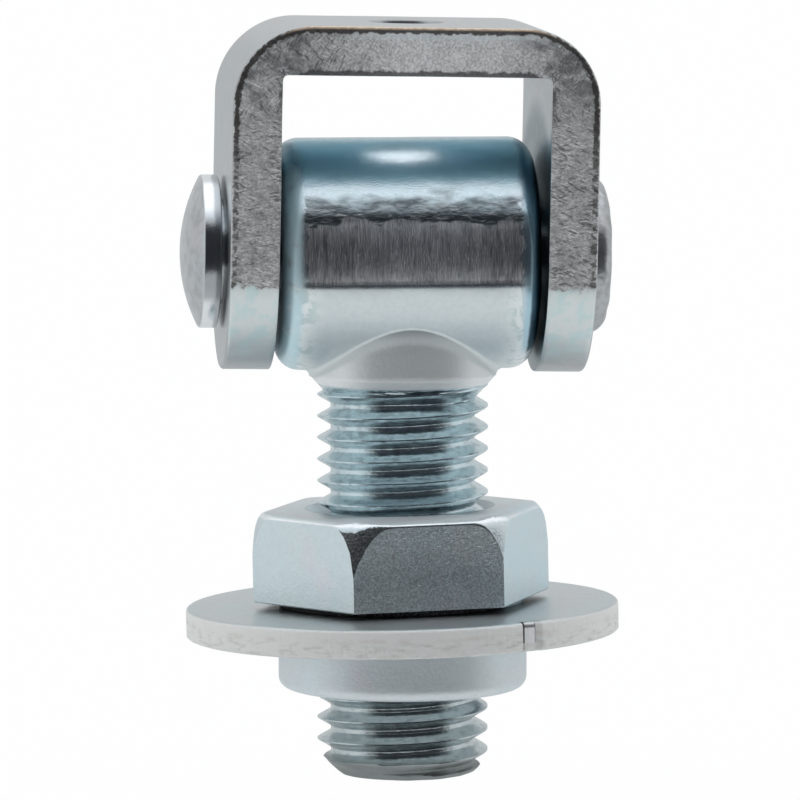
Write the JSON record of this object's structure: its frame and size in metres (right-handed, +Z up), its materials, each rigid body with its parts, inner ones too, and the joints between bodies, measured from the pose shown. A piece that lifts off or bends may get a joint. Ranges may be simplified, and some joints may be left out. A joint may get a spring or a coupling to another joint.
{
  "type": "adjustable gate hinge",
  "caption": "Threaded eye stem in a round nut with plate washer and lock nut, riveted through a folded U bracket that swings on it to hang a gate.",
  "frame": {"origin": "centre of the plate washer's underside, where the washer seats on the gate's tube and the round nut goes into it", "axes": "+Z up along the stem to the bracket's web, +X along the hinge pin towards its peened head, -Y towards the viewer"},
  "size_m": [0.0507, 0.05, 0.0868],
  "materials": {
    "round_nut": "zinc plated, blue passivated, turned",
    "plate_washer": "zinc plated plate with a rough cut rim",
    "lock_nut": "zinc plated, blue passivated, fine matt grain",
    "eye_bolt": "zinc plated forging, blue passivated",
    "u_bracket": "zinc plated flat bar with rough sheared edges",
    "rivet_pin": "zinc plated, satin"
  },
  "bodies": {
    "seat": {"round_nut": "round_nut", "plate_washer": "plate_washer"},
    "stem": {"eye_bolt": "eye_bolt"},
    "locking_nut": {"lock_nut": "lock_nut"},
    "bracket": {"u_bracket": "u_bracket", "rivet_pin": "rivet_pin"}
  },
  "joints": [
    {"name": "stem_adjust", "type": "slide", "parent": "seat", "child": "stem", "axis": [0, 0, 1], "range_m": [-0.0075, 0.01]},
    {"name": "lock_nut_run", "type": "slide", "parent": "seat", "child": "locking_nut", "axis": [0, 0, 1], "range_m": [0, 0.005]},
    {"name": "bracket_swing", "type": "hinge", "parent": "stem", "child": "bracket", "pos_m": [0, 0, 0.04395], "axis": [1, 0, 0], "range_deg": [-105, 105]}
  ]
}
